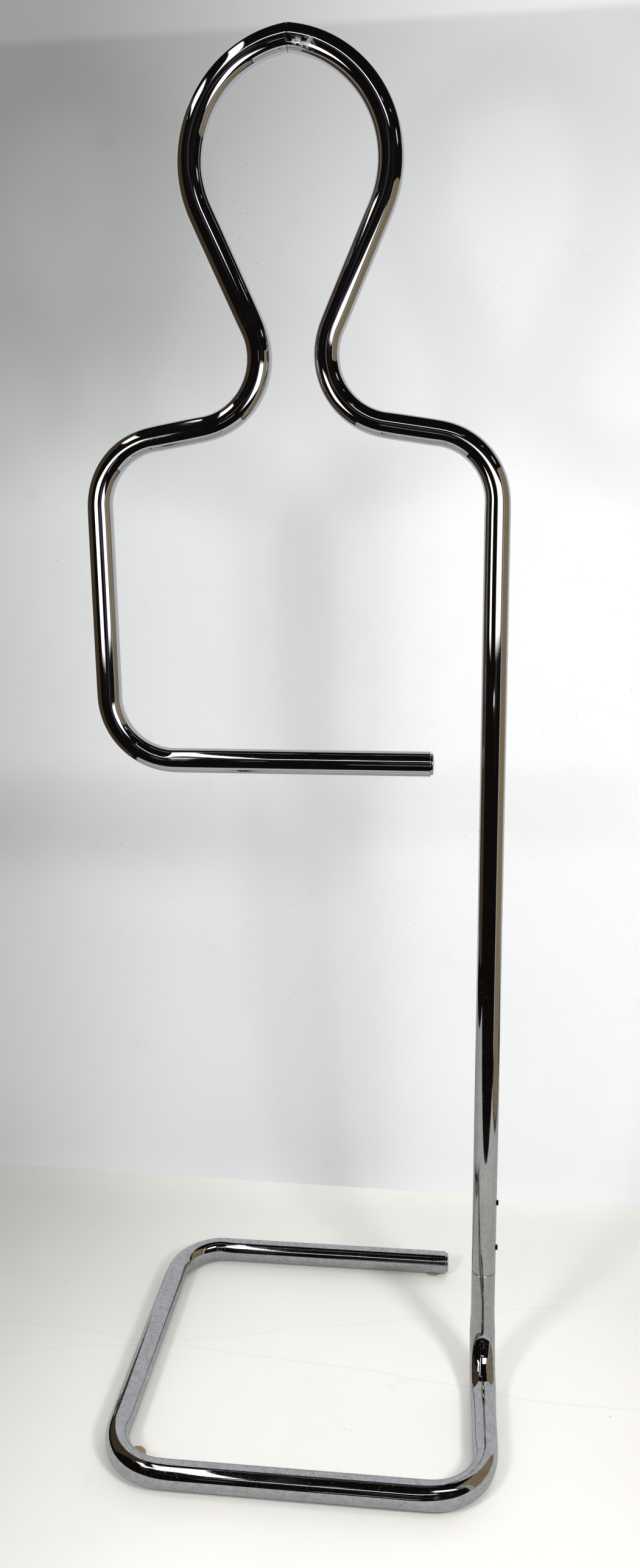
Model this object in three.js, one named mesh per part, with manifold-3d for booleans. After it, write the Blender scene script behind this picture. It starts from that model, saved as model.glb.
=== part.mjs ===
// Free-standing valet stand of bent chromed steel tube, drawn in the outline of a person.
// Millimetres, +Z up, floor at z = 0. +X to the wearer's left hand side, figure in an XZ plane.
// Three bent tubes (base, upright half, trouser bar half) plug together on two inner spigots.
import * as THREE from "three";
import { mergeVertices } from "three/addons/utils/BufferGeometryUtils.js";
import Module from "manifold-3d";

// ---- driving dimensions -------------------------------------------------
const TUBE_R = 12.7;            // 1 inch tube
const BORE_R = 11.2;            // 1.5 mm wall
const SPIGOT_R = 10.6;          // inner sleeves that join the tubes
const SPIGOT_BORE_R = 8.6;
const SEAM_GAP = 0.3;           // gap between butting tube ends

const AXIS_X = -4.13;           // x of the head seam
const PLANE_Y = 2.25;           // y of the figure's plane

const HEAD_TOP_Z = 1367.3;      // tube centre at the head seam
const HEAD_DROP = 6.5;          // each half starts this far below level, degrees
const HEAD_R = 108;             // head bend
const HEAD_SWEEP = 107.25;
const JAW_L = 115;              // straight from head to neck
const BEND_R = 67;              // neck, shoulder and bar bends
const SHOULDER_SLOPE = 9.1;     // degrees below level
const SHOULDER_L = 53.5;
const LEFT_LEAN = 0.87;         // the trouser bar half hangs this far inward, degrees
const LEFT_SIDE_L = 189.5;      // straight side above the bar bend
const BAR_L = 262.5;            // straight trouser bar

const RISER_SEAM_Z = 130;       // where the upright plugs on the base
const BASE_Z = 15.5;            // centre height of the floor tubes
const BASE_R = 54;              // base bends
const BASE_RIGHT_L = 69;
const BASE_FRONT_L = 262.5;
const BASE_LEFT_L = 241.5;
const BASE_REAR_L = 277;

const SPIGOT_BELOW = 60;        // riser spigot inside the base
const SPIGOT_ABOVE = 98;        // riser spigot inside the upright
const HEAD_SPIGOT_R = 9.6;      // slimmer, so its straight legs pass the bend
const HEAD_SPIGOT_BORE_R = 7.6;
const HEAD_SPIGOT_IN_UPRIGHT = 30;
const HEAD_SPIGOT_IN_LEFT = 25;
const HEAD_SPIGOT_RISE = 0.4;   // centres each straight leg in the curved bore

const SCREW_R = 3.0;            // M6 socket set screws
const SCREW_HOLE_R = 3.3;
const SCREW_L = 3.6;
const SCREW_Z = [157, 209];

const PLUG_SHANK_R = 10.5;      // domed end plugs
const PLUG_HEAD_R = 11.1;
const PLUG_SHANK_L = 14;
const PLUG_RIM_L = 2.0;
const PLUG_DOME_H = 1.5;

const PAD_R = 9.5;              // vinyl floor pads
const PAD_TOP_R = 7.6;
const PAD_H = 2.5;

const OUTER_SIDES = 16;
const BORE_SIDES = 12;

// ---- materials ----------------------------------------------------------
const chrome = () => new THREE.MeshStandardMaterial({ color: 0xc9cbce, roughness: 0.08, metalness: 1.0 });
const zinc = () => new THREE.MeshStandardMaterial({ color: 0x9a9c9e, roughness: 0.35, metalness: 1.0 });
const blackOxide = () => new THREE.MeshStandardMaterial({ color: 0x141415, roughness: 0.45, metalness: 0.6 });
const amberVinyl = () => new THREE.MeshStandardMaterial({ color: 0x9c8468, roughness: 0.4, metalness: 0.0 });

// ---- routes: straight runs and true arcs, sampled where they turn --------
const rad = (deg) => (deg * Math.PI) / 180;

class Route extends THREE.Curve {
  constructor(start, direction) {
    super();
    this.position = start.clone();
    this.direction = direction.clone().normalize();
    this.stations = [{ p: this.position.clone(), t: this.direction.clone() }];
  }
  mark() {
    this.stations.push({ p: this.position.clone(), t: this.direction.clone() });
    return this;
  }
  straight(length, steps = 1) {
    for (let i = 0; i < steps; i++) {
      this.position.addScaledVector(this.direction, length / steps);
      this.mark();
    }
    return this;
  }
  // turn about a unit axis by degrees, on the given centre-line radius
  bend(radius, degrees, axis, steps) {
    const d = rad(degrees) / steps;
    for (let i = 0; i < steps; i++) {
      const half = this.direction.clone().applyAxisAngle(axis, d / 2);
      this.position.addScaledVector(half, 2 * radius * Math.sin(Math.abs(d) / 2));
      this.direction.applyAxisAngle(axis, d).normalize();
      this.mark();
    }
    return this;
  }
  getPointAt(u, target = new THREE.Vector3()) {
    return target.copy(this.stations[Math.round(u * (this.stations.length - 1))].p);
  }
  getPoint(u, target) {
    return this.getPointAt(u, target);
  }
  getTangentAt(u, target = new THREE.Vector3()) {
    return target.copy(this.stations[Math.round(u * (this.stations.length - 1))].t);
  }
  getTangent(u, target) {
    return this.getTangentAt(u, target);
  }
}

const ring = (radius, sides) => {
  const points = [];
  for (let i = 0; i < sides; i++) {
    const a = (2 * Math.PI * i) / sides;
    points.push(new THREE.Vector2(radius * Math.cos(a), radius * Math.sin(a)));
  }
  return points;
};

function pipe(route, outer, bore, outerSides = OUTER_SIDES) {
  const section = new THREE.Shape(ring(outer, outerSides));
  section.holes.push(new THREE.Path(ring(bore, BORE_SIDES)));
  return new THREE.ExtrudeGeometry(section, {
    steps: route.stations.length - 1,
    bevelEnabled: false,
    extrudePath: route,
  });
}

const stand = new THREE.Group();
function add(name, geometry, material) {
  const mesh = new THREE.Mesh(geometry, material);
  mesh.name = name;
  stand.add(mesh);
  return mesh;
}

// ---- solids cut with manifold -------------------------------------------
const wasm = await Module();
wasm.setup();
function solid(geometry) {
  const g = geometry.clone();
  g.deleteAttribute("normal");
  g.deleteAttribute("uv");
  const m = mergeVertices(g, 1e-4);
  return new wasm.Manifold(
    new wasm.Mesh({
      numProp: 3,
      vertProperties: new Float32Array(m.attributes.position.array),
      triVerts: new Uint32Array(m.index.array),
    })
  );
}
function meshed(manifold) {
  const m = manifold.getMesh();
  const g = new THREE.BufferGeometry();
  g.setAttribute("position", new THREE.BufferAttribute(new Float32Array(m.vertProperties), 3));
  g.setIndex(new THREE.BufferAttribute(new Uint32Array(m.triVerts), 1));
  g.computeVertexNormals();
  return g;
}

const X = new THREE.Vector3(1, 0, 0);
const Y = new THREE.Vector3(0, 1, 0);
const Z = new THREE.Vector3(0, 0, 1);
const neg = (v) => v.clone().negate();

// ---- half of the figure: head, neck, shoulder, as far as the vertical side -
// side = +1 runs to +X, side = -1 is its mirror image
function figureHalf(side, lean) {
  const drop = HEAD_DROP + lean;
  // headings turn clockwise seen from the front for +X, the other way for -X
  const turn = side > 0 ? Y : neg(Y);
  const heading = new THREE.Vector3(side, 0, 0).applyAxisAngle(turn, rad(drop));
  const start = new THREE.Vector3(AXIS_X, PLANE_Y, HEAD_TOP_Z);
  start.addScaledVector(heading, SEAM_GAP / 2);
  const r = new Route(start, heading);
  // the butting end is cut square to X, not to the tube
  r.stations[0].t = new THREE.Vector3(side, 0, 0);
  r.bend(HEAD_R, 16, turn, 5).bend(HEAD_R, HEAD_SWEEP - 16, turn, 8);
  r.straight(JAW_L);
  r.bend(BEND_R, -(HEAD_DROP + HEAD_SWEEP - SHOULDER_SLOPE), turn, 8);
  r.straight(SHOULDER_L);
  r.bend(BEND_R, 90 - SHOULDER_SLOPE, turn, 6);
  return { route: r, turn };
}

// upright half: head seam down to the riser seam
const upright = figureHalf(1, 0).route;
const SIDE_X = upright.position.x;
upright.straight(upright.position.z - RISER_SEAM_Z - SEAM_GAP / 2, 3);

// the tapped holes for the set screws go through its outer wall
let uprightSolid = solid(pipe(upright, TUBE_R, BORE_R));
for (const z of SCREW_Z) {
  const drill = new THREE.CylinderGeometry(SCREW_HOLE_R, SCREW_HOLE_R, 12, 16);
  drill.rotateZ(Math.PI / 2);
  drill.translate(SIDE_X + 12, PLANE_Y, z);
  uprightSolid = uprightSolid.subtract(solid(drill));
}
add("upright_tube", meshed(uprightSolid), chrome());

// trouser bar half: head seam round to the end of the bar
const left = figureHalf(-1, LEFT_LEAN);
left.route.straight(LEFT_SIDE_L, 1);
left.route.bend(BEND_R, 90 - LEFT_LEAN, left.turn, 7);
left.route.direction.copy(X);
left.route.stations[left.route.stations.length - 1].t.copy(X);
left.route.straight(BAR_L, 2);
const BAR_END = left.route.position.clone();
add("trouser_bar_tube", pipe(left.route, TUBE_R, BORE_R), chrome());

// ---- base: riser down to the floor and round a square C -------------------
const riserTop = new THREE.Vector3(SIDE_X, PLANE_Y, RISER_SEAM_Z - SEAM_GAP / 2);
const base = new Route(riserTop, neg(Z));
base.straight(riserTop.z - BASE_Z - BASE_R, 2);
base.bend(BASE_R, 90, neg(X), 7);            // down to the front
base.straight(BASE_RIGHT_L);
base.bend(BASE_R, 90, neg(Z), 7);            // front right corner
base.straight(BASE_FRONT_L, 2);
base.bend(BASE_R, 90, neg(Z), 7);            // front left corner
base.straight(BASE_LEFT_L, 2);
base.bend(BASE_R, 90, neg(Z), 7);            // rear left corner
base.straight(BASE_REAR_L, 2);
const REAR_END = base.position.clone();
add("base_tube", pipe(base, TUBE_R, BORE_R), chrome());

// ---- spigots ---------------------------------------------------------------
const riserSpigot = new Route(new THREE.Vector3(SIDE_X, PLANE_Y, RISER_SEAM_Z + SPIGOT_ABOVE), neg(Z));
riserSpigot.straight(SPIGOT_ABOVE + SPIGOT_BELOW, 2);
add("riser_spigot", pipe(riserSpigot, SPIGOT_R, SPIGOT_BORE_R, BORE_SIDES), zinc());

// the head spigot is kinked at the seam: one straight leg along the chord of each bend
function headChord(side, lean, length) {
  const turn = side > 0 ? Y : neg(Y);
  const below = HEAD_DROP + lean + ((length / HEAD_R) * (180 / Math.PI)) / 2;
  return new THREE.Vector3(side, 0, 0).applyAxisAngle(turn, rad(below));
}
const rightLeg = headChord(1, 0, HEAD_SPIGOT_IN_UPRIGHT);
const leftLeg = headChord(-1, LEFT_LEAN, HEAD_SPIGOT_IN_LEFT);
const kink = new THREE.Vector3(AXIS_X, PLANE_Y, HEAD_TOP_Z + HEAD_SPIGOT_RISE);
const headSpigot = new Route(kink.clone().addScaledVector(rightLeg, HEAD_SPIGOT_IN_UPRIGHT), neg(rightLeg));
headSpigot.straight(HEAD_SPIGOT_IN_UPRIGHT);
headSpigot.stations[1].t = leftLeg.clone().sub(rightLeg).normalize();
headSpigot.direction.copy(leftLeg);
headSpigot.straight(HEAD_SPIGOT_IN_LEFT);
add("head_spigot", pipe(headSpigot, HEAD_SPIGOT_R, HEAD_SPIGOT_BORE_R, BORE_SIDES), zinc());

// ---- set screws: chamfered, with a hexagon socket in the outer end ---------
const screwTip = SIDE_X + SPIGOT_R + 0.3;
["lower_set_screw", "upper_set_screw"].forEach((name, i) => {
  const c = 0.4;
  const profile = [
    new THREE.Vector2(0, 0),
    new THREE.Vector2(SCREW_R - 0.8, 0),
    new THREE.Vector2(SCREW_R, 0.8),
    new THREE.Vector2(SCREW_R, SCREW_L - c),
    new THREE.Vector2(SCREW_R - c, SCREW_L),
    new THREE.Vector2(0, SCREW_L),
  ];
  const body = new THREE.LatheGeometry(profile, 20);
  const socket = new THREE.CylinderGeometry(1.73, 1.73, 4.4, 6);
  socket.translate(0, SCREW_L, 0);
  const g = meshed(solid(body).subtract(solid(socket)));
  g.rotateZ(-Math.PI / 2);
  g.translate(screwTip, PLANE_Y, SCREW_Z[i]);
  add(name, g, blackOxide());
});

// ---- domed end plugs -------------------------------------------------------
function plug(name, end) {
  const p = [new THREE.Vector2(0, -PLUG_SHANK_L), new THREE.Vector2(PLUG_SHANK_R - 1, -PLUG_SHANK_L)];
  p.push(new THREE.Vector2(PLUG_SHANK_R, -PLUG_SHANK_L + 1));
  p.push(new THREE.Vector2(PLUG_SHANK_R, 0.3), new THREE.Vector2(PLUG_HEAD_R, 0.3));
  p.push(new THREE.Vector2(PLUG_HEAD_R, PLUG_RIM_L));
  for (let i = 1; i <= 3; i++) {
    const a = (i / 3) * (Math.PI / 2);
    p.push(new THREE.Vector2(i === 3 ? 0 : PLUG_HEAD_R * Math.cos(a), PLUG_RIM_L + PLUG_DOME_H * Math.sin(a)));
  }
  const g = new THREE.LatheGeometry(p, 20);
  g.rotateZ(-Math.PI / 2);
  g.translate(end.x, end.y, end.z);
  add(name, g, chrome());
}
plug("bar_end_plug", BAR_END);
plug("base_end_plug", REAR_END);

// ---- floor pads --------------------------------------------------------------
const frontY = PLANE_Y - 2 * BASE_R - BASE_RIGHT_L;
const rearY = REAR_END.y;
const leftX = SIDE_X - 2 * BASE_R - BASE_FRONT_L;
const pads = {
  // this one has crept inward from under the corner
  front_left_pad: [leftX + 22, frontY + 37.3],
  front_right_pad: [SIDE_X, frontY + BASE_R + 15],
  rear_left_pad: [leftX - 1.8, rearY - BASE_R - 12],
  rear_right_pad: [REAR_END.x - 16, rearY + 3],
};
for (const [name, [x, y]] of Object.entries(pads)) {
  const g = new THREE.LatheGeometry(
    [
      new THREE.Vector2(0, 0),
      new THREE.Vector2(PAD_R - 0.4, 0),
      new THREE.Vector2(PAD_R, 0.4),
      new THREE.Vector2(PAD_R, 0.8),
      new THREE.Vector2(PAD_TOP_R, PAD_H),
      new THREE.Vector2(0, PAD_H),
    ],
    20
  );
  g.rotateX(Math.PI / 2);
  g.translate(x, y, 0);
  add(name, g, amberVinyl());
}

export default stand;
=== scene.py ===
# Looks of the bent-tube valet stand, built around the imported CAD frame. Metres, +Z up, floor at z = 0.
import math

import bpy
import numpy as np
from mathutils import Matrix, Vector


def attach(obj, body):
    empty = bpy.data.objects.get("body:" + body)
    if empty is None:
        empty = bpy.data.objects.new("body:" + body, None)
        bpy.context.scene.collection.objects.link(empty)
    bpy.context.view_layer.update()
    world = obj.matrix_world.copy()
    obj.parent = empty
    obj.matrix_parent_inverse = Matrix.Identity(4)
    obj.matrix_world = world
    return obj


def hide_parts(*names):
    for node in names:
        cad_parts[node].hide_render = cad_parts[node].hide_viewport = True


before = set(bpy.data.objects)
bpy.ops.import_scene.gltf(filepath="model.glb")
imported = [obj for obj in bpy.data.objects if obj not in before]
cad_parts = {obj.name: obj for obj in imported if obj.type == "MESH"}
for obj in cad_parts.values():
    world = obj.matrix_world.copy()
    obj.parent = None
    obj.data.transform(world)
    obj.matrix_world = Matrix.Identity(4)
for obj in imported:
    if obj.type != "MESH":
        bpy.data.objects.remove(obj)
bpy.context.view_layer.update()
scene = bpy.context.scene

MM = 0.001
X, Y, Z = Vector((1, 0, 0)), Vector((0, 1, 0)), Vector((0, 0, 1))

# ---------------------------------------------------------------- dimensions, as in the CAD source (mm)
TUBE_R, BORE_R = 12.7, 11.2
SEAM_GAP = 0.3
AXIS_X, PLANE_Y, HEAD_TOP_Z = -4.13, 2.25, 1367.3
HEAD_DROP, HEAD_R, HEAD_SWEEP = 6.5, 108.0, 107.25
JAW_L, BEND_R, SHOULDER_SLOPE, SHOULDER_L = 115.0, 67.0, 9.1, 53.5
LEFT_LEAN, LEFT_SIDE_L, BAR_L = 0.87, 189.5, 262.5
RISER_SEAM_Z, BASE_Z, BASE_R = 130.0, 15.5, 54.0
BASE_RIGHT_L, BASE_FRONT_L, BASE_LEFT_L, BASE_REAR_L = 69.0, 262.5, 241.5, 277.0
SPIGOT_R, SPIGOT_BORE_R, SPIGOT_BELOW, SPIGOT_ABOVE = 10.6, 8.6, 60.0, 98.0
HEAD_SPIGOT_R, HEAD_SPIGOT_BORE_R = 9.6, 7.6
HEAD_IN_UPRIGHT, HEAD_IN_LEFT, HEAD_SPIGOT_RISE = 30.0, 25.0, 0.4
SCREW_R, SCREW_HOLE_R, SCREW_L, SCREW_Z = 3.0, 3.3, 3.6, (157.0, 209.0)
PLUG_SHANK_R, PLUG_HEAD_R, PLUG_SHANK_L, PLUG_RIM_L, PLUG_DOME_H = 10.5, 11.1, 14.0, 2.0, 1.5
PAD_R, PAD_TOP_R, PAD_H = 9.5, 7.6, 2.5


# ---------------------------------------------------------------- camera
def make_camera():
    yaw, pitch, roll = math.radians(5.9186), math.radians(9.0031), math.radians(-0.2507)
    ahead = Vector((-math.sin(yaw), math.cos(yaw), 0))
    right = Vector((math.cos(yaw), math.sin(yaw), 0))
    look = ahead * math.cos(pitch) - Z * math.sin(pitch)
    up = Z * math.cos(pitch) + ahead * math.sin(pitch)
    r2 = right * math.cos(roll) + up * math.sin(roll)
    u2 = up * math.cos(roll) - right * math.sin(roll)
    data = bpy.data.cameras.new("camera")
    data.sensor_fit = "AUTO"
    data.sensor_width = 36.0
    data.lens = 1828.893 / 2576 * 36.0
    data.shift_x = -(544.288 - 525.5) / 2576
    data.shift_y = -(1288.0 - 1184.223) / 2576
    data.clip_start, data.clip_end = 0.05, 40.0
    cam = bpy.data.objects.new("camera", data)
    scene.collection.objects.link(cam)
    m = Matrix((r2, u2, -look)).transposed().to_4x4()
    m.translation = Vector((0.1526031 + AXIS_X * MM, -1.1062185 + PLANE_Y * MM, 0.9042884))
    cam.matrix_world = m
    scene.camera = cam
    return cam


make_camera()


# ---------------------------------------------------------------- centre lines
class Path:
    """Straight runs and true arcs, with a frame carried along without twist. Takes mm, holds mm."""

    def __init__(self, start, heading, side):
        self.p, self.t, self.n = Vector(start), Vector(heading).normalized(), Vector(side).normalized()
        self.s = 0.0
        self.st = []
        self.bends = []
        self.mark()

    def mark(self):
        self.st.append((self.p.copy(), self.t.copy(), self.n.copy(), self.s))

    def straight(self, length, step=5.0):
        k = max(1, round(length / step))
        for _ in range(k):
            self.p = self.p + self.t * (length / k)
            self.s += length / k
            self.mark()
        return self

    def bend(self, radius, degrees, axis, step=2.5):
        k = max(4, round(abs(math.radians(degrees)) * radius / step))
        d = math.radians(degrees) / k
        half, full = Matrix.Rotation(d / 2, 3, axis), Matrix.Rotation(d, 3, axis)
        s0 = self.s
        inward = (Vector(axis) * math.copysign(1, degrees)).cross(self.t)
        for _ in range(k):
            self.p = self.p + (half @ self.t) * (2 * radius * math.sin(abs(d) / 2))
            self.t = (full @ self.t).normalized()
            self.n = (full @ self.n).normalized()
            self.s += abs(d) * radius
            self.mark()
        # which way is inward, as an angle round the carried frame: constant in a plane bend
        t0, n0 = self.st[-k - 1][1], self.st[-k - 1][2]
        b0 = t0.cross(n0)
        self.bends.append((s0, self.s, radius, math.atan2(inward.dot(b0), inward.dot(n0))))
        return self


def figure_half(side, lean):
    turn = Y if side > 0 else -Y
    heading = Matrix.Rotation(math.radians(HEAD_DROP + lean), 3, turn) @ Vector((side, 0, 0))
    start = Vector((AXIS_X, PLANE_Y, HEAD_TOP_Z)) + heading * (SEAM_GAP / 2)
    r = Path(start, heading, Y)
    r.bend(HEAD_R, HEAD_SWEEP, turn)
    r.straight(JAW_L)
    r.bend(BEND_R, -(HEAD_DROP + HEAD_SWEEP - SHOULDER_SLOPE), turn)
    r.straight(SHOULDER_L)
    r.bend(BEND_R, 90 - SHOULDER_SLOPE, turn)
    return r, turn


upright_path, _ = figure_half(1, 0.0)
SIDE_X = upright_path.p.x
upright_path.straight(upright_path.p.z - RISER_SEAM_Z - SEAM_GAP / 2)

left_path, left_turn = figure_half(-1, LEFT_LEAN)
left_path.straight(LEFT_SIDE_L)
left_path.bend(BEND_R, 90 - LEFT_LEAN, left_turn)
left_path.straight(BAR_L)
BAR_END = left_path.p.copy()

base_path = Path(Vector((SIDE_X, PLANE_Y, RISER_SEAM_Z - SEAM_GAP / 2)), -Z, X)
base_path.straight(RISER_SEAM_Z - SEAM_GAP / 2 - BASE_Z - BASE_R)
base_path.bend(BASE_R, 90, -X)
base_path.straight(BASE_RIGHT_L)
base_path.bend(BASE_R, 90, -Z)
base_path.straight(BASE_FRONT_L)
base_path.bend(BASE_R, 90, -Z)
base_path.straight(BASE_LEFT_L)
base_path.bend(BASE_R, 90, -Z)
base_path.straight(BASE_REAR_L)
REAR_END = base_path.p.copy()


# ---------------------------------------------------------------- mesh helpers
def link_mesh(name, verts, faces, sharp=32.0, metres=False):
    me = bpy.data.meshes.new(name)
    v = np.asarray(verts, float) * (1.0 if metres else MM)
    me.from_pydata(v.tolist(), [], [list(map(int, f)) for f in faces])
    me.validate()
    me.polygons.foreach_set("use_smooth", [True] * len(me.polygons))
    me.set_sharp_from_angle(angle=math.radians(sharp))
    me.update()
    ob = bpy.data.objects.new(name, me)
    scene.collection.objects.link(ob)
    return ob


def ring_points(p, t, n, radius, sides):
    b = t.cross(n)
    a = np.arange(sides) * (2 * math.pi / sides)
    r = np.broadcast_to(np.asarray(radius, float), (sides,))
    return np.array(p)[None] + r[:, None] * (np.cos(a)[:, None] * np.array(n)[None] + np.sin(a)[:, None] * np.array(b)[None])


def sweep(name, path, outer, bore, sides=72, relief=None, mitre=None, rim=0.35, bore_step=4):
    """A hollow tube: outer skin, eased rims, annular ends and bore, closed all over.
    relief(s, angles) is added to the outer radius. mitre = x of the plane the first end is cut to."""
    st = path.st
    ang = np.arange(sides) * (2 * math.pi / sides)
    total = st[-1][3]

    def cut(points, p, t, s, reach=26.0):
        if mitre is None or s > reach:
            return points
        k = 1 - s / reach
        off = (points[:, 0] - p.x) / t.x
        return points - (off * k)[:, None] * np.array(t)[None]

    rings = []
    p, t, n, s = st[0]
    rings.append(cut(ring_points(p, t, n, outer - rim, sides), p, t, 0))
    q = p + t * rim
    rings.append(cut(ring_points(q, t, n, outer, sides), q, t, 0.0))
    for p, t, n, s in st[1:-1]:
        if s < 2.0 or s > total - 1.5:
            continue
        r = outer + (relief(s, ang) if relief else 0.0)
        rings.append(cut(ring_points(p, t, n, r, sides), p, t, s))
    p, t, n, s = st[-1]
    rings.append(ring_points(p - t * rim, t, n, outer, sides))
    rings.append(ring_points(p, t, n, outer - rim, sides))
    inner = [st[0]] + [x for i, x in enumerate(st[1:-1]) if i % bore_step == 0 and 4 < x[3] < total - 4] + [st[-1]]
    for p, t, n, s in reversed(inner):
        rings.append(cut(ring_points(p, t, n, bore, sides), p, t, s))
    verts = np.concatenate(rings)
    m = len(rings)
    i = np.arange(sides)
    faces = []
    for k in range(m):
        a, b = k * sides, ((k + 1) % m) * sides
        faces.append(np.stack([a + i, b + i, b + (i + 1) % sides, a + (i + 1) % sides], 1))
    ob = link_mesh(name, verts, np.concatenate(faces))
    return ob


def outward(ob):
    """Makes the faces of a closed piece point outward."""
    import bmesh

    bm = bmesh.new()
    bm.from_mesh(ob.data)
    bmesh.ops.recalc_face_normals(bm, faces=bm.faces)
    if bm.calc_volume(signed=True) < 0:
        bmesh.ops.reverse_faces(bm, faces=bm.faces)
    bm.to_mesh(ob.data)
    bm.free()
    ob.data.update()
    return ob


def turned(name, rings, sides, centre, axis, up, sharp=32.0):
    """A turned piece from (radius or radii, height) rings, closed at both ends; height runs along axis."""
    axis, up = Vector(axis).normalized(), Vector(up).normalized()
    verts, faces = [], []
    for r, h in rings:
        if np.isscalar(r) and r == 0:
            verts.append(np.array(Vector(centre) + axis * h)[None])
        else:
            verts.append(ring_points(Vector(centre) + axis * (h if np.isscalar(h) else 0), axis, up, r, sides)
                         + (0 if np.isscalar(h) else np.asarray(h)[:, None] * np.array(axis)[None]))
    starts = np.cumsum([0] + [len(v) for v in verts])
    i = np.arange(sides)
    for k in range(len(verts) - 1):
        a, b = starts[k], starts[k + 1]
        if len(verts[k]) == 1:
            faces += [(a, b + j, b + (j + 1) % sides) for j in i]
        elif len(verts[k + 1]) == 1:
            faces += [(a + (j + 1) % sides, a + j, b) for j in i]
        else:
            faces += [(a + j, b + j, b + (j + 1) % sides, a + (j + 1) % sides) for j in i]
    return outward(link_mesh(name, np.concatenate(verts), faces, sharp))


def cut_with(ob, cutters):
    """Boolean difference, applied."""
    for c in cutters:
        m = ob.modifiers.new("cut", "BOOLEAN")
        m.operation, m.solver, m.object = "DIFFERENCE", "EXACT", c
    dg = bpy.context.evaluated_depsgraph_get()
    me = bpy.data.meshes.new_from_object(ob.evaluated_get(dg))
    me.name = ob.name
    old = ob.data
    ob.modifiers.clear()
    ob.data = me
    bpy.data.meshes.remove(old)
    for c in cutters:
        d = c.data
        bpy.data.objects.remove(c)
        bpy.data.meshes.remove(d)
    me.polygons.foreach_set("use_smooth", [True] * len(me.polygons))
    me.set_sharp_from_angle(angle=math.radians(32))
    me.update()
    return ob


# ---------------------------------------------------------------- materials
class Nodes:
    def __init__(self, name):
        self.mat = bpy.data.materials.new(name)
        self.mat.use_nodes = True
        self.tree = self.mat.node_tree
        self.tree.nodes.clear()
        self.out = self.tree.nodes.new("ShaderNodeOutputMaterial")
        self.coords = self.tree.nodes.new("ShaderNodeTexCoord").outputs["Object"]

    def node(self, kind, **sockets):
        n = self.tree.nodes.new(kind)
        for k, v in sockets.items():
            self.put(n.inputs[k.replace("_", " ")], v)
        return n

    def put(self, socket, v):
        if isinstance(v, bpy.types.NodeSocket):
            self.tree.links.new(v, socket)
        else:
            socket.default_value = v

    def noise(self, scale, detail=3.0, rough=0.55, vector=None, distortion=0.0):
        n = self.node("ShaderNodeTexNoise", Scale=scale, Detail=detail, Roughness=rough, Distortion=distortion)
        self.put(n.inputs["Vector"], vector or self.coords)
        return n.outputs["Fac"]

    def voronoi(self, scale, feature="F1", randomness=1.0):
        n = self.node("ShaderNodeTexVoronoi", Scale=scale)
        n.feature = feature
        n.inputs["Randomness"].default_value = randomness
        self.put(n.inputs["Vector"], self.coords)
        return n

    def math(self, op, a, b=0.5, clamp=False):
        n = self.tree.nodes.new("ShaderNodeMath")
        n.operation = op
        n.use_clamp = clamp
        self.put(n.inputs[0], a)
        self.put(n.inputs[1], b)
        return n.outputs[0]

    def ramp(self, v, a, b, lo=0.0, hi=1.0):
        n = self.tree.nodes.new("ShaderNodeMapRange")
        n.interpolation_type = "SMOOTHSTEP"
        self.put(n.inputs["Value"], v)
        n.inputs["From Min"].default_value, n.inputs["From Max"].default_value = a, b
        n.inputs["To Min"].default_value, n.inputs["To Max"].default_value = lo, hi
        return n.outputs["Result"]

    def mix(self, fac, a, b):
        n = self.tree.nodes.new("ShaderNodeMix")
        n.data_type = "RGBA"
        self.put(n.inputs["Factor"], fac)
        self.put(n.inputs[6], a)
        self.put(n.inputs[7], b)
        return n.outputs[2]

    def xyz(self):
        n = self.tree.nodes.new("ShaderNodeSeparateXYZ")
        self.put(n.inputs[0], self.coords)
        return n.outputs

    def bump(self, height, strength, distance, normal=None):
        n = self.node("ShaderNodeBump", Height=height, Strength=strength, Distance=distance)
        if normal is not None:
            self.put(n.inputs["Normal"], normal)
        return n.outputs["Normal"]

    def finish(self, shader):
        self.tree.links.new(shader, self.out.inputs["Surface"])
        return self.mat


CHROME = 0.60


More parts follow.
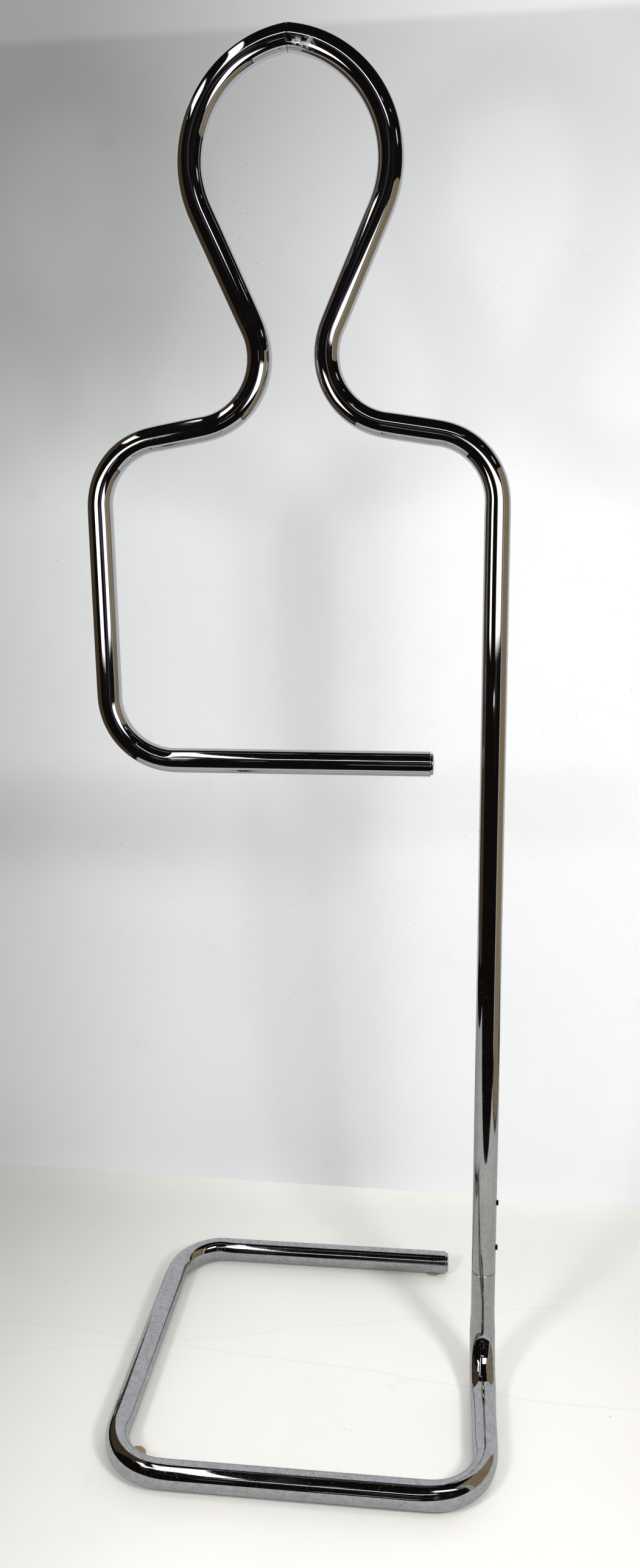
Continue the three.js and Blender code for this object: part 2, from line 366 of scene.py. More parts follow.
def chrome_material(name="chrome_plate", residue=False):
    m = Nodes(name)
    z = m.xyz()["Z"]
    low = m.ramp(z, 0.62, 0.10)                                   # the lower tube is the more weathered
    cloud = m.noise(26.0, 4.0, 0.6)
    haze = m.noise(9.0, 3.0, 0.6)
    fine = m.noise(420.0, 3.0, 0.6)
    pit_v = m.voronoi(520.0)
    pit = m.ramp(pit_v.outputs["Distance"], 0.17, 0.08)
    pit_on = m.math("MULTIPLY", m.ramp(m.noise(60.0, 2.0), 0.50, 0.66), m.math("ADD", m.math("MULTIPLY", low, 0.85), 0.12))
    pits = m.math("MULTIPLY", pit, pit_on)
    freckle = m.math("MULTIPLY", m.ramp(m.voronoi(1400.0).outputs["Distance"], 0.30, 0.12), m.math("MULTIPLY", m.ramp(m.noise(34.0, 3.0), 0.46, 0.62), low))
    colour = m.mix(cloud, (CHROME * 0.97, CHROME * 0.985, CHROME * 1.0, 1), (CHROME * 1.04, CHROME * 1.03, CHROME * 1.01, 1))
    mottle = m.math("MULTIPLY", m.ramp(m.noise(150.0, 5.0, 0.7), 0.40, 0.62), low)
    colour = m.mix(m.math("MULTIPLY", mottle, 0.42), colour, (0.36, 0.355, 0.34, 1))
    colour = m.mix(m.math("MULTIPLY", freckle, 0.45), colour, (0.30, 0.285, 0.265, 1))
    pos = m.xyz()
    riser = m.math("MULTIPLY", m.ramp(pos["X"], 0.170, 0.180), m.math("MULTIPLY", m.ramp(z, 0.42, 0.22), m.ramp(z, 0.030, 0.070)))
    colour = m.mix(m.math("MULTIPLY", riser, m.ramp(m.noise(48.0, 5.0, 0.7), 0.25, 0.70, 0.35, 0.80)), colour, (0.47, 0.465, 0.43, 1))
    grime = m.math("MULTIPLY", m.ramp(m.noise(620.0, 3.0, 0.6), 0.50, 0.64), m.math("MULTIPLY", low, m.ramp(m.noise(22.0, 3.0), 0.40, 0.60, 0.25, 1.0)))
    colour = m.mix(m.math("MULTIPLY", grime, 0.50), colour, (0.22, 0.21, 0.19, 1))
    colour = m.mix(m.math("MULTIPLY", pits, 0.85), colour, (0.075, 0.062, 0.05, 1))
    rough = m.math("ADD", m.ramp(haze, 0.35, 0.75, 0.02, 0.055), m.math("MULTIPLY", m.ramp(fine, 0.45, 0.75), 0.03))
    rough = m.math("ADD", rough, m.math("MULTIPLY", m.math("MULTIPLY", low, m.ramp(cloud, 0.35, 0.70)), 0.05))
    rough = m.math("ADD", rough, m.math("MULTIPLY", pits, 0.45))
    rough = m.math("ADD", rough, m.math("MULTIPLY", freckle, 0.12))
    metal = m.math("SUBTRACT", 1.0, m.math("MULTIPLY", pits, 0.5))
    normal = m.bump(m.noise(75.0, 2.0, 0.4), 0.5, 0.000012)
    normal = m.bump(m.math("SUBTRACT", 1.0, pits), 0.6, 0.00006, normal)
    if residue:
        x = m.xyz()
        film = m.math("MULTIPLY", m.ramp(x["X"], 0.0005, 0.003), m.ramp(x["X"], 0.026, 0.014))
        film = m.math("MULTIPLY", film, m.math("MULTIPLY", m.ramp(x["Z"], 1.3645, 1.3600), m.ramp(x["Z"], 1.3490, 1.3535)))
        film = m.math("MULTIPLY", film, m.ramp(x["Y"], -0.004, -0.007))
        film = m.math("MULTIPLY", film, m.ramp(m.noise(210.0, 4.0, 0.7), 0.44, 0.60))
        colour = m.mix(m.math("MULTIPLY", film, 0.60), colour, (0.42, 0.40, 0.38, 1))
        rough = m.math("ADD", rough, m.math("MULTIPLY", film, 0.45), True)
        metal = m.math("MULTIPLY", metal, m.math("SUBTRACT", 1.0, m.math("MULTIPLY", film, 0.6)))
        normal = m.bump(film, 0.5, 0.00006, normal)
    b = m.node("ShaderNodeBsdfPrincipled", Base_Color=colour, Metallic=metal, Roughness=rough, Normal=normal)
    return m.finish(b.outputs[0])


def steel_material():
    m = Nodes("spigot_turned_steel")
    p = m.xyz()
    wave = m.node("ShaderNodeTexWave", Scale=260.0, Distortion=1.2, Detail=2.0)
    wave.bands_direction = "Z"
    m.put(wave.inputs["Vector"], m.coords)
    blot = m.noise(60.0, 4.0, 0.65)
    rust = m.ramp(m.noise(140.0, 5.0, 0.7), 0.60, 0.74)
    colour = m.mix(blot, (0.34, 0.335, 0.325, 1), (0.50, 0.495, 0.485, 1))
    colour = m.mix(m.math("MULTIPLY", rust, 0.55), colour, (0.16, 0.085, 0.045, 1))
    rough = m.math("ADD", m.ramp(blot, 0.3, 0.7, 0.24, 0.38), m.math("MULTIPLY", rust, 0.3))
    metal = m.math("SUBTRACT", 1.0, m.math("MULTIPLY", rust, 0.6))
    normal = m.bump(wave.outputs["Fac"], 0.35, 0.00004)
    normal = m.bump(m.noise(900.0, 2.0), 0.3, 0.00002, normal)
    b = m.node("ShaderNodeBsdfPrincipled", Base_Color=colour, Metallic=metal, Roughness=rough, Normal=normal)
    return m.finish(b.outputs[0])


def screw_material():
    m = Nodes("screw_black_oxide")
    worn = m.ramp(m.noise(1500.0, 3.0, 0.6), 0.55, 0.72)
    colour = m.mix(worn, (0.012, 0.012, 0.014, 1), (0.10, 0.095, 0.09, 1))
    rough = m.ramp(m.noise(900.0, 2.0), 0.3, 0.7, 0.32, 0.55)
    normal = m.bump(m.noise(2600.0, 2.0), 0.3, 0.00002)
    b = m.node("ShaderNodeBsdfPrincipled", Base_Color=colour, Metallic=0.85, Roughness=rough, Normal=normal)
    return m.finish(b.outputs[0])


def pad_material():
    m = Nodes("pad_amber_vinyl")
    blot = m.noise(160.0, 4.0, 0.6)
    dirt = m.ramp(m.noise(420.0, 4.0, 0.7), 0.52, 0.72)
    colour = m.mix(blot, (0.26, 0.185, 0.10, 1), (0.40, 0.31, 0.19, 1))
    colour = m.mix(m.math("MULTIPLY", dirt, 0.6), colour, (0.13, 0.085, 0.05, 1))
    rough = m.ramp(blot, 0.3, 0.7, 0.28, 0.46)
    normal = m.bump(m.noise(700.0, 3.0), 0.35, 0.00008)
    b = m.node("ShaderNodeBsdfPrincipled", Base_Color=colour, Metallic=0.0, Roughness=rough, Normal=normal)
    b.inputs["Subsurface Weight"].default_value = 0.35
    b.inputs["Subsurface Radius"].default_value = (0.8, 0.62, 0.40)
    b.inputs["Subsurface Scale"].default_value = 0.003
    b.inputs["IOR"].default_value = 1.5
    return m.finish(b.outputs[0])


chrome = chrome_material()
chrome_head = chrome_material("chrome_plate_head", residue=True)
steel = steel_material()
black = screw_material()
amber = pad_material()


def piece(ob, body, node, material):
    ob.data.materials.clear()
    ob.data.materials.append(material)
    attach(ob, body)
    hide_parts(node)
    return ob


# ---------------------------------------------------------------- the tubes
def wobble(seed, amp, path, oval):
    """Slow unevenness of a bent and polished tube, and small wrinkles inside each bend."""
    rng = np.random.default_rng(seed)
    waves = [(rng.uniform(60, 260), rng.uniform(0, 2 * math.pi), int(rng.integers(1, 4)), rng.uniform(0, 2 * math.pi), rng.uniform(0.4, 1.0)) for _ in range(9)]
    bends = [(a, b, c, d, rng.uniform(0, 2 * math.pi, 4)) for a, b, c, d in path.bends]

    def relief(s, ang):
        r = np.zeros_like(ang)
        for length, ph, k, pa, w in waves:
            r += amp * w * math.sin(2 * math.pi * s / length + ph) * np.cos(k * ang + pa)
        for s0, s1, radius, inward, ph in bends:
            edge = 14.0
            k = min(1.0, max(0.0, (s - s0 + edge) / (2 * edge))) * min(1.0, max(0.0, (s1 + edge - s) / (2 * edge)))
            if k <= 0:
                continue
            k = k * k * (3 - 2 * k)
            d = ang - inward
            r += k * oval * (54.0 / radius) ** 2 * (-np.cos(2 * d) - 0.15 * np.cos(d + math.pi))      # thinner in the plane of the bend, wider across it
            if radius < 100:
                focus = np.clip(np.cos(d), 0, 1) ** 6
                r += k * 0.05 * focus * (math.sin(2 * math.pi * s / 9.5 + ph[0]) + 0.6 * math.sin(2 * math.pi * s / 6.1 + ph[1]))
        return r

    return relief


upright = sweep("chrome_upright_tube", upright_path, TUBE_R, BORE_R, relief=wobble(11, 0.010, upright_path, 0.55), mitre=AXIS_X + SEAM_GAP / 2)
left = sweep("chrome_trouser_bar_tube", left_path, TUBE_R, BORE_R, relief=wobble(12, 0.010, left_path, 0.55), mitre=AXIS_X - SEAM_GAP / 2)
base = sweep("chrome_base_tube", base_path, TUBE_R, BORE_R, relief=wobble(13, 0.010, base_path, 0.95))
for t in (upright, left, base):
    outward(t)

drills = []
for zc in SCREW_Z:
    drills.append(turned("drill_%d" % zc, [(0, 0), (SCREW_HOLE_R, 0), (SCREW_HOLE_R, 8.0), (0, 8.0)], 40, Vector((SIDE_X + 8.0, PLANE_Y, zc)), X, Z))
cut_with(upright, drills)

piece(upright, "upright", "upright_tube", chrome_head)
piece(left, "trouser_bar", "trouser_bar_tube", chrome)
piece(base, "base", "base_tube", chrome)

# ---------------------------------------------------------------- spigots
riser_path = Path(Vector((SIDE_X, PLANE_Y, RISER_SEAM_Z + SPIGOT_ABOVE)), -Z, X)
riser_path.straight(SPIGOT_ABOVE + SPIGOT_BELOW, 4.0)
riser_spigot = outward(sweep("steel_riser_spigot", riser_path, SPIGOT_R, SPIGOT_BORE_R, sides=56, rim=0.8))
piece(riser_spigot, "base", "riser_spigot", steel)


def head_chord(side, lean, length):
    turn = Y if side > 0 else -Y
    below = HEAD_DROP + lean + math.degrees(length / HEAD_R) / 2
    return Matrix.Rotation(math.radians(below), 3, turn) @ Vector((side, 0, 0))


right_leg, left_leg = head_chord(1, 0.0, HEAD_IN_UPRIGHT), head_chord(-1, LEFT_LEAN, HEAD_IN_LEFT)
kink = Vector((AXIS_X, PLANE_Y, HEAD_TOP_Z + HEAD_SPIGOT_RISE))
kinked = Path(kink + right_leg * HEAD_IN_UPRIGHT, -right_leg, Y)
kinked.straight(HEAD_IN_UPRIGHT, 4.0)
p_, t_, n_, s_ = kinked.st[-1]
kinked.st[-1] = (p_, (left_leg - right_leg).normalized(), n_, s_)
kinked.t = left_leg.copy()
kinked.straight(HEAD_IN_LEFT, 4.0)
head_spigot = outward(sweep("steel_head_spigot", kinked, HEAD_SPIGOT_R, HEAD_SPIGOT_BORE_R, sides=56, rim=0.8))
piece(head_spigot, "upright", "head_spigot", steel)


# ---------------------------------------------------------------- set screws
def set_screw(name, zc):
    sides, pitch, depth = 48, 1.0, 0.42
    ang = np.arange(sides) * (2 * math.pi / sides)
    hexr = 1.5 / np.cos(((ang + math.pi / 6) % (math.pi / 3)) - math.pi / 6)
    c = 0.4
    rings = [(0, 0.0), (SCREW_R - 1.3, 0.0), (SCREW_R - 0.8, 0.12)]
    for h in np.arange(0.4, SCREW_L - c + 1e-6, 0.1):
        f = np.abs(((h / pitch - ang / (2 * math.pi)) % 1.0) - 0.5) * 2
        r = SCREW_R - depth * f
        lim = (SCREW_R - 0.8) + (h / 0.8) * 0.8
        rings.append((np.minimum(r, lim), float(h)))
    rings += [(SCREW_R - c, SCREW_L), (2.05, SCREW_L), (hexr + 0.12, SCREW_L), (hexr, SCREW_L - 0.12), (hexr, SCREW_L - 2.0), (1.2, SCREW_L - 2.1), (0, SCREW_L - 2.45)]
    return turned(name, rings, sides, Vector((SIDE_X + SPIGOT_R + 0.3, PLANE_Y, zc)), X, Z, 28)


piece(set_screw("socket_screw_lower", SCREW_Z[0]), "lower_screw", "lower_set_screw", black)
piece(set_screw("socket_screw_upper", SCREW_Z[1]), "upper_screw", "upper_set_screw", black)


# ---------------------------------------------------------------- end plugs
def end_plug(name, end):
    rings = [(0, -PLUG_SHANK_L), (PLUG_SHANK_R - 1.6, -PLUG_SHANK_L), (PLUG_SHANK_R - 0.9, -PLUG_SHANK_L + 0.15), (PLUG_SHANK_R, -PLUG_SHANK_L + 1.2),
             (PLUG_SHANK_R, -9.0), (PLUG_SHANK_R - 0.35, -8.6), (PLUG_SHANK_R - 0.35, -6.6), (PLUG_SHANK_R, -6.2), (PLUG_SHANK_R, 0.3)]
    rings += [(PLUG_HEAD_R - 0.15, 0.3), (PLUG_HEAD_R, 0.45), (PLUG_HEAD_R, 1.35), (PLUG_HEAD_R - 0.22, 1.45), (PLUG_HEAD_R - 0.22, 1.6), (PLUG_HEAD_R - 0.02, 1.7), (PLUG_HEAD_R - 0.02, PLUG_RIM_L)]
    for i in range(1, 19):
        a = (i / 18) * (math.pi / 2)
        r = (PLUG_HEAD_R - 0.02) * math.cos(a)
        rings.append((0 if i == 18 else r, PLUG_RIM_L + PLUG_DOME_H * math.sin(a)))
    return turned(name, rings, 96, Vector(end), X, Z, 38)


piece(end_plug("chrome_bar_end_plug", BAR_END), "trouser_bar", "bar_end_plug", chrome)
piece(end_plug("chrome_base_end_plug", REAR_END), "base", "base_end_plug", chrome)

# ---------------------------------------------------------------- floor pads
front_y = PLANE_Y - 2 * BASE_R - BASE_RIGHT_L
left_x = SIDE_X - 2 * BASE_R - BASE_FRONT_L
rear_y = REAR_END.y
PADS = {
    "front_left_pad": (left_x + 22, front_y + 37.3),
    "front_right_pad": (SIDE_X, front_y + BASE_R + 15),
    "rear_left_pad": (left_x - 1.8, rear_y - BASE_R - 12),
    "rear_right_pad": (REAR_END.x - 16, rear_y + 3),
}
for pad_name, (px, py) in PADS.items():
    prof = [(0, 0.45), (2.6, 0.45), (2.9, 0.30), (3.1, 0.05), (3.4, 0.0), (PAD_R - 0.6, 0.0), (PAD_R - 0.2, 0.12), (PAD_R, 0.4), (PAD_R, 0.75)]
    for i in range(1, 7):
        f = i / 6
        prof.append((PAD_R + (PAD_TOP_R + 0.25 - PAD_R) * f - 0.22 * math.sin(math.pi * f), 0.75 + (PAD_H - 0.95) * f))
    prof += [(PAD_TOP_R - 0.05, PAD_H - 0.06), (PAD_TOP_R - 0.5, PAD_H), (0, PAD_H)]
    piece(turned("amber_" + pad_name, prof, 64, Vector((px, py, 0)), Z, X, 50), "base", pad_name, amber)


# ---------------------------------------------------------------- stage: floor, sweep wall, and what the chrome reflects
def lin(v):
    v = v / 255.0
    return v / 12.92 if v <= 0.04045 else ((v + 0.055) / 1.055) ** 2.4


def rgb(r, g, b, k=1.0):
    return (lin(r) * k, lin(g) * k, lin(b) * k, 1)


OFF = Vector((AXIS_X * MM, PLANE_Y * MM, -0.020))


def quad(name, corners, material):
    me = bpy.data.meshes.new(name)
    me.from_pydata([tuple(c) for c in corners], [], [tuple(range(len(corners)))])
    uv = me.uv_layers.new(name="UVMap")
    for i, c in enumerate(((0, 0), (1, 0), (1, 1), (0, 1))[: len(corners)]):
        uv.data[i].uv = c
    me.materials.append(material)
    me.update()
    ob = bpy.data.objects.new(name, me)
    scene.collection.objects.link(ob)
    return ob


def glow(name, colour, strength, soft=0.0, mottled=0.0):
    m = bpy.data.materials.new(name)
    m.use_nodes = True
    t = m.node_tree
    t.nodes.clear()
    out = t.nodes.new("ShaderNodeOutputMaterial")
    em = t.nodes.new("ShaderNodeEmission")
    em.inputs["Color"].default_value = colour
    em.inputs["Strength"].default_value = strength
    t.links.new(em.outputs[0], out.inputs["Surface"])
    if soft > 0:
        uvn = t.nodes.new("ShaderNodeTexCoord")
        sep = t.nodes.new("ShaderNodeSeparateXYZ")
        t.links.new(uvn.outputs["UV"], sep.inputs[0])
        last = None
        for ax in (0, 1):
            d = t.nodes.new("ShaderNodeMath"); d.operation = "SUBTRACT"; d.inputs[1].default_value = 0.5
            t.links.new(sep.outputs[ax], d.inputs[0])
            a = t.nodes.new("ShaderNodeMath"); a.operation = "ABSOLUTE"
            t.links.new(d.outputs[0], a.inputs[0])
            r = t.nodes.new("ShaderNodeMapRange"); r.interpolation_type = "SMOOTHSTEP"
            r.inputs["From Min"].default_value, r.inputs["From Max"].default_value = 0.5, 0.5 - soft
            t.links.new(a.outputs[0], r.inputs["Value"])
            if last is None:
                last = r.outputs[0]
            else:
                mu = t.nodes.new("ShaderNodeMath"); mu.operation = "MULTIPLY"
                t.links.new(last, mu.inputs[0]); t.links.new(r.outputs[0], mu.inputs[1])
                last = mu.outputs[0]
        tr = t.nodes.new("ShaderNodeBsdfTransparent")
        mx = t.nodes.new("ShaderNodeMixShader")
        t.links.new(last, mx.inputs[0])
        t.links.new(tr.outputs[0], mx.inputs[1])
        t.links.new(em.outputs[0], mx.inputs[2])
        t.links.new(mx.outputs[0], out.inputs["Surface"])
    return m


def reflected_only(ob):
    ob.visible_camera = False
    ob.visible_diffuse = False
    ob.visible_transmission = False
    ob.visible_volume_scatter = False
    ob.visible_shadow = False
    return ob


def card(name, axis, at, a, b, material):
    """A reflected card in the plane axis = at, spanning a and b in the two other axes in order. Metres, from the figure's foot."""
    (a0, a1), (b0, b1) = a, b
    other = [i for i in range(3) if i != axis]
    cs = []
    for u, v in ((a0, b0), (a1, b0), (a1, b1), (a0, b1)):
        c = [0, 0, 0]
        c[axis], c[other[0]], c[other[1]] = at, u, v
        cs.append(Vector(c) + OFF)
    return reflected_only(quad(name, cs, material))


K = 1.0 / CHROME
tan_glow = glow("room_tan", rgb(114, 103, 82), K)
brown_glow = glow("room_brown", rgb(58, 48, 38), K)
wall_glow = glow("room_paper_wall", rgb(163, 165, 169), K)
lamp_glow = glow("room_lamp", (1, 0.99, 0.97, 1), 2.4, soft=0.14)
lamp_glow_dim = glow("room_lamp_dim", (1, 0.99, 0.97, 1), 0.9, soft=0.30)
dark_glow = glow("room_dark", rgb(12, 11, 10), K)

card("room_paper_back", 1, 0.7257, (-0.931, 1.5676), (0.0, 2.002), wall_glow)
card("room_tan_side", 0, 0.850, (-0.400, 0.360), (0.030, 1.340), tan_glow)
card("room_pale_side", 0, 0.852, (-0.520, -0.400), (0.030, 1.340), glow("room_pale_side", rgb(140, 140, 138), K))
card("room_tan_floor", 2, 0.0206, (0.770, 1.60), (-0.400, 0.400), tan_glow)
card("room_brown_side", 0, -0.650, (-0.170, 0.630), (0.170, 1.821), brown_glow)
card("room_lamp_right", 1, -0.662, (0.150, 0.830), (0.740, 1.190), lamp_glow)
card("room_shade_right", 1, -0.664, (0.830, 1.100), (0.740, 1.190), glow("room_shade_right", rgb(96, 86, 74), K))
card("room_lamp_left", 1, -0.550, (-0.610, -0.230), (0.730, 1.110), lamp_glow)
card("room_lamp_strip", 2, 2.206, (-0.57, -0.43), (-2.176, 0.178), glow("room_lamp_strip", (1, 0.99, 0.97, 1), 2.4, soft=0.12))
card("room_window_high", 1, -3.19, (-0.75, 0.95), (2.66, 2.84), glow("room_window_high", (0.97, 0.98, 1, 1), 3.0, soft=0.10))
card("room_window_low", 1, -3.19, (-0.25, 0.25), (0.30, 0.36), glow("room_window_low", (0.97, 0.98, 1, 1), 1.5, soft=0.10))
card("room_lamp_ceiling", 2, 2.54, (-1.66, -1.12), (-1.75, -0.20), lamp_glow)
card("room_lamp_high", 0, 2.065, (-1.102, -0.572), (2.127, 2.519), lamp_glow_dim)

# odds and ends of the room behind the camera, faint
rng_room = np.random.default_rng(5)
for i in range(16):
    cx, cz = rng_room.uniform(-2.6, 2.6), rng_room.uniform(0.3, 2.9)
    w, h = rng_room.uniform(0.05, 0.45), rng_room.uniform(0.05, 0.7)
    lum = float(rng_room.choice([22, 28, 36, 48, 66, 120], p=[0.25, 0.2, 0.2, 0.15, 0.1, 0.1]))
    tone = rgb(lum, lum * 0.94, lum * (0.78 if i % 2 else 1.25))
    card("room_thing_%02d" % i, 1, -3.2, (cx - w, cx + w), (cz - h, cz + h), glow("room_thing_%02d" % i, tone, K, soft=0.12))
for i, (cx, cy, lum) in enumerate(((0.9, -1.9, 200), (-0.2, -2.4, 160), (1.6, -0.9, 190), (-2.0, -0.6, 150))):
    card("room_spot_%d" % i, 2, 2.6, (cx - 0.05, cx + 0.05), (cy - 0.05, cy + 0.05), glow("room_spot_%d" % i, rgb(lum, lum, lum), 2.0 * K, soft=0.2))

# the dark room beyond, all round
R_, H0, H1 = 4.5, -0.05, 4.2
bx = [Vector((x, y, z)) for z in (H0, H1) for x, y in ((-R_, -R_), (R_, -R_), (R_, R_), (-R_, R_))]
for nm, idx in (("a", (0, 1, 5, 4)), ("b", (1, 2, 6, 5)), ("c", (2, 3, 7, 6)), ("d", (3, 0, 4, 7)), ("e", (0, 3, 2, 1)), ("f", (4, 5, 6, 7))):
    reflected_only(quad("room_dark_" + nm, [bx[i] for i in idx], dark_glow))


def paper(name, light, dark, gradient=None, alpha=None):
    """Matt paper with faint blotches and specks."""
    m = Nodes(name)
    blot = m.noise(3.5, 4.0, 0.55)
    speck = m.ramp(m.voronoi(55.0).outputs["Distance"], 0.062, 0.030)
    on = m.ramp(m.noise(5.0, 2.0), 0.50, 0.64)
    smear = m.ramp(m.noise(14.0, 5.0, 0.65), 0.60, 0.78)
    c = m.mix(m.ramp(blot, 0.3, 0.7), light, dark)
    c = m.mix(m.math("MULTIPLY", smear, 0.16), c, (0.60, 0.58, 0.55, 1))
    c = m.mix(m.math("MULTIPLY", m.math("MULTIPLY", speck, on), 0.55), c, (0.22, 0.20, 0.18, 1))
    if gradient is not None:
        g = m.node("ShaderNodeVectorMath")
        g.operation = "SCALE"
        m.put(g.inputs[0], c)
        m.put(g.inputs["Scale"], gradient(m))
        c = g.outputs[0]
    b = m.node("ShaderNodeBsdfDiffuse", Color=c)
    if alpha is None:
        return m.finish(b.outputs[0])
    tr = m.tree.nodes.new("ShaderNodeBsdfTransparent")
    mx = m.tree.nodes.new("ShaderNodeMixShader")
    m.put(mx.inputs[0], alpha(m))
    m.tree.links.new(tr.outputs[0], mx.inputs[1])
    m.tree.links.new(b.outputs[0], mx.inputs[2])
    return m.finish(mx.outputs[0])


def floor_alpha(m):
    p = m.xyz()
    rr = m.math("SQRT", m.math("ADD", m.math("MULTIPLY", p["X"], p["X"]), m.math("MULTIPLY", p["Y"], p["Y"])))
    return m.ramp(rr, 2.7, 1.4)


def bump_of(m, v, at, half):
    """1 at the value, falling smoothly to 0 on both sides."""
    d = m.math("ABSOLUTE", m.math("SUBTRACT", v, at), 0.0)
    return m.ramp(d, half, 0.0)


def floor_painted_light(m):
    # painted light: dimmer towards the left, the right and the far corner, where the light falls off, and painted
    # brighter towards the crease at the wall
    p = m.xyz()
    left = m.ramp(p["X"], -0.55, -0.05, 0.66, 1.0)
    right = m.ramp(p["X"], 0.22, 0.45, 1.0, 0.93)
    back = m.ramp(p["Y"], -0.02, 0.20, 1.0, 0.955)
    crease = m.ramp(p["Y"], 0.27, 0.40, 1.0, 1.13)
    t = m.math("MULTIPLY", m.math("MULTIPLY", left, right), m.math("MULTIPLY", back, crease))
    # painted shade along two faint, slightly wavy folds in the paper
    sag = m.math("MULTIPLY", m.noise(6.0, 1.0), 0.03)
    fold_shade_a = bump_of(m, m.math("ADD", m.math("ADD", p["Y"], m.math("MULTIPLY", p["X"], 0.10)), sag), 0.020, 0.0016)
    fold_shade_b = bump_of(m, m.math("ADD", m.math("SUBTRACT", p["Y"], m.math("MULTIPLY", p["X"], 0.22)), sag), 0.075, 0.0014)
    t = m.math("MULTIPLY", t, m.math("SUBTRACT", 1.0, m.math("MULTIPLY", m.math("ADD", fold_shade_a, fold_shade_b), 0.07)))
    return m.math("MULTIPLY", t, 0.955)


def wall_alpha(m):
    geo = m.tree.nodes.new("ShaderNodeNewGeometry")
    p = m.xyz()
    front = m.math("SUBTRACT", 1.0, geo.outputs["Backfacing"])
    side = m.ramp(m.math("ABSOLUTE", p["X"], 0.0), 2.0, 1.2)
    return m.math("MULTIPLY", m.math("MULTIPLY", front, side), m.ramp(p["Z"], 2.8, 2.0))


def wall_painted_light(m):
    p = m.xyz()
    x, z = p["X"], p["Z"]
    # lower part: painted light, darker at the left and lighter to the right, with painted soft shadows of the riser and
    # of the trouser bar and painted shade towards the floor
    low = m.math("ADD", m.ramp(x, -0.60, -0.20, 0.64, 0.85), m.ramp(x, 0.03, 0.17, 0.0, 0.11))
    low = m.math("SUBTRACT", low, m.math("MULTIPLY", bump_of(m, x, 0.015, 0.085), 0.05))
    bar = m.math("MULTIPLY", bump_of(m, z, 0.49, 0.13), m.ramp(x, 0.07, 0.0))
    low = m.math("SUBTRACT", low, m.math("MULTIPLY", bar, 0.09))
    low = m.math("SUBTRACT", low, m.ramp(z, 0.16, 0.0, 0.0, 0.04))
    # upper part: painted shade, dim at the left and towards the top
    high = m.ramp(x, -0.42, 0.30, 0.46, 0.91)
    high = m.math("MULTIPLY", high, m.ramp(z, 1.55, 1.25, 0.82, 1.0))
    up = m.ramp(z, 0.92, 1.24)
    t = m.math("ADD", m.math("MULTIPLY", low, m.math("SUBTRACT", 1.0, up)), m.math("MULTIPLY", high, up))
    # a lighter band from about 1.56 m up to 1.8 m
    strip = m.math("ADD", 1.0, m.math("MULTIPLY", m.ramp(z, 1.558, 1.572, 0.0, 0.20), m.ramp(z, 1.80, 1.64)))
    return m.math("MULTIPLY", t, strip)


S = 6.0
floor = quad("stage_floor", [Vector((-S, -S, 0)), Vector((S, -S, 0)), Vector((S, S, 0)), Vector((-S, S, 0))], paper("paper_floor", (0.940, 0.918, 0.872, 1), (0.906, 0.886, 0.844, 1), floor_painted_light, floor_alpha))
floor.visible_glossy = False

# painted shade: a darker copy of the floor paper that only the chrome sees, only as wide as the sheet
sheet = quad("stage_sheet_reflected", [Vector((x + OFF.x, y + OFF.y, 0.0003)) for x, y in ((-0.7137, -0.452), (0.7376, -0.452), (0.7376, 0.7257), (-0.7137, 0.7257))], paper("paper_floor_shaded_copy", (0.56, 0.565, 0.57, 1), (0.50, 0.505, 0.51, 1)))
reflected_only(sheet)

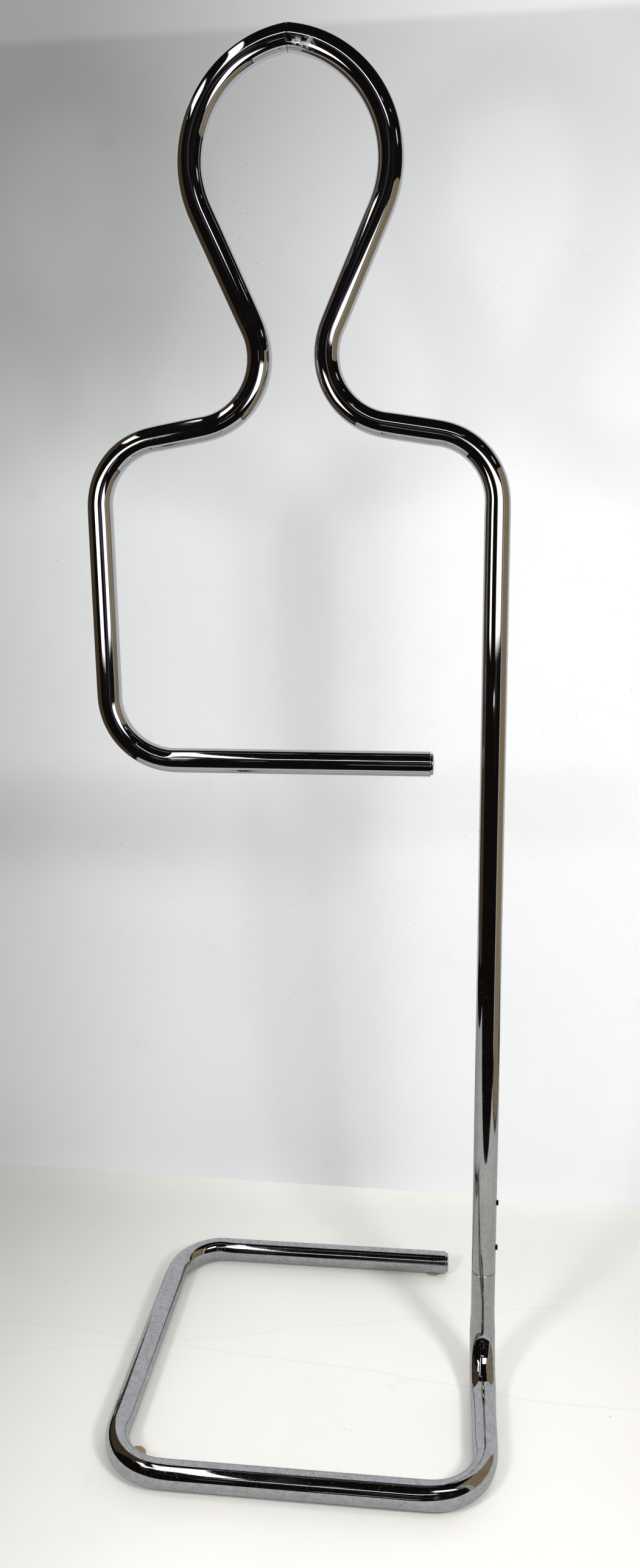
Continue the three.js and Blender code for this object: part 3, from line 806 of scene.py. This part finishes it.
# the wall the paper runs up, seen from the front only: a crease at the floor, then a slow curve to upright
prof = [(0.0, 0.0002), (0.005, 0.010), (0.011, 0.025), (0.020, 0.050), (0.034, 0.095), (0.050, 0.160), (0.064, 0.240), (0.075, 0.350), (0.083, 0.500), (0.086, 0.700), (0.086, 3.0)]
vs, fs = [], []
for yy, zz in prof:
    vs += [(-2.1, 0.354 + 0.021 * 2.1 + yy, zz), (2.1, 0.354 - 0.021 * 2.1 + yy, zz)]
for i in range(len(prof) - 1):
    fs.append((2 * i, 2 * i + 1, 2 * i + 3, 2 * i + 2))
me = bpy.data.meshes.new("stage_wall")
me.from_pydata(vs, [], fs)
me.materials.append(paper("paper_wall", (0.896, 0.915, 0.920, 1), (0.866, 0.885, 0.890, 1), wall_painted_light, wall_alpha))
me.polygons.foreach_set("use_smooth", [True] * len(me.polygons))
me.update()
wall = bpy.data.objects.new("stage_wall", me)
scene.collection.objects.link(wall)
wall.visible_glossy = False

# pale surroundings for the camera only
import bmesh

bm = bmesh.new()
bmesh.ops.create_uvsphere(bm, u_segments=32, v_segments=16, radius=14.0)
me = bpy.data.meshes.new("stage_dome")
bm.to_mesh(me)
bm.free()
me.materials.append(glow("stage_dome", (0.80, 0.80, 0.795, 1), 1.0))
dome = bpy.data.objects.new("stage_dome", me)
scene.collection.objects.link(dome)
dome.visible_diffuse = dome.visible_glossy = dome.visible_transmission = dome.visible_shadow = dome.visible_volume_scatter = False


# ---------------------------------------------------------------- lights and world
def area(name, at, target, size, energy, colour=(1, 1, 1)):
    d = bpy.data.lights.new(name, "AREA")
    d.shape = "RECTANGLE"
    d.size, d.size_y = size
    d.energy = energy
    d.color = colour
    o = bpy.data.objects.new(name, d)
    scene.collection.objects.link(o)
    o.location = Vector(at) + OFF
    o.rotation_mode = "QUATERNION"
    o.rotation_quaternion = (Vector(target) - Vector(at)).to_track_quat("-Z", "Y")
    o.visible_glossy = False
    o.visible_camera = False
    return o


area("light_right", (0.76, -0.90, 1.05), (0.0, 0.1, 0.3), (0.22, 0.26), 9.4)
area("light_left", (-0.56, -1.05, 1.05), (0.0, 0.1, 0.3), (0.22, 0.26), 7.3)
area("light_top", (0.5, -0.6, 2.5), (0.1, 0.1, 0.2), (1.4, 1.0), 10.5)

world = bpy.data.worlds.new("world")
world.use_nodes = True
bg = world.node_tree.nodes.get("Background")
bg.inputs["Color"].default_value = (1.0, 1.0, 1.0, 1)
bg.inputs["Strength"].default_value = 0.37
scene.world = world

scene.view_settings.view_transform = "Standard"
scene.view_settings.look = "None"
scene.view_settings.exposure = 0.0
scene.view_settings.gamma = 1.0
